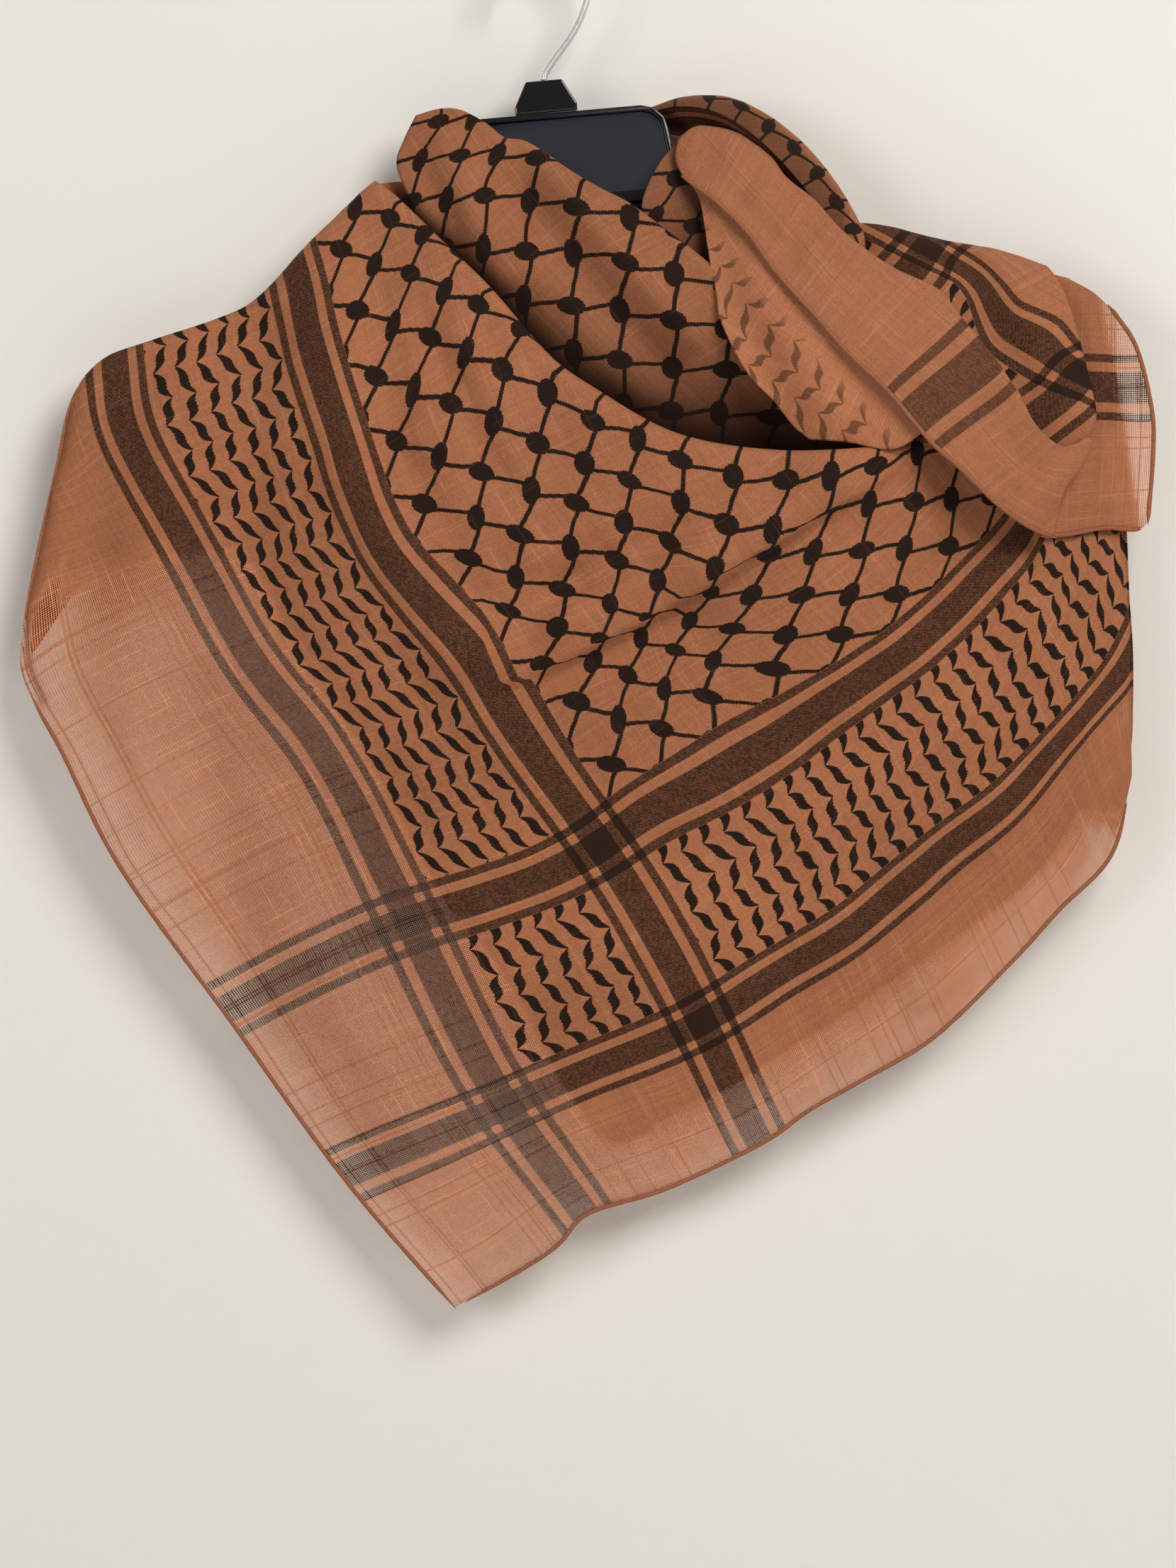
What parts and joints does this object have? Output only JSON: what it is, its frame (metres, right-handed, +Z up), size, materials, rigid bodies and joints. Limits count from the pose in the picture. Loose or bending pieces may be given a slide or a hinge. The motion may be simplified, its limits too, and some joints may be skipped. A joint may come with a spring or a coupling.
{
  "type": "keffiyeh headscarf on a clothes hanger",
  "caption": "Square rust and black keffiyeh headscarf, folded corner to corner and wound round the neck of a black plastic hanger with a wire hook.",
  "frame": {"origin": "inside top of the wire hook, where a nail or rail carries the hanger", "axes": "+Z up, +X to the viewer's right along the hanger's arms, +Y back towards the wall"},
  "size_m": [0.4817, 0.0907, 0.5814],
  "materials": {
    "scarf_cotton": "open plain-weave cotton voile, rust orange with a near-black net, leaf and stripe pattern, see-through where it is one layer",
    "hem_cotton": "rolled and stitched edge of the same cotton, darker where it is doubled",
    "hanger_plastic": "gloss black moulded plastic",
    "hook_steel": "bright zinc-plated wire"
  },
  "bodies": {
    "root": {"hook": "hook_steel", "hook_collar": "hanger_plastic", "hanger_body": "hanger_plastic", "front_drape": "scarf_cotton", "far_layer": "scarf_cotton", "upper_cowl": "scarf_cotton", "neck_strip": "scarf_cotton", "neck_roll": "scarf_cotton", "roll_curl": "scarf_cotton", "end_flap": "scarf_cotton", "end_flap_underside": "scarf_cotton", "shoulder_fold": "scarf_cotton", "shoulder_tail": "scarf_cotton", "back_drape": "scarf_cotton", "hem_left": "hem_cotton", "hem_lower_right": "hem_cotton", "hem_flap": "hem_cotton", "hem_tail_side": "hem_cotton", "hem_tail_foot": "hem_cotton"}
  },
  "joints": []
}
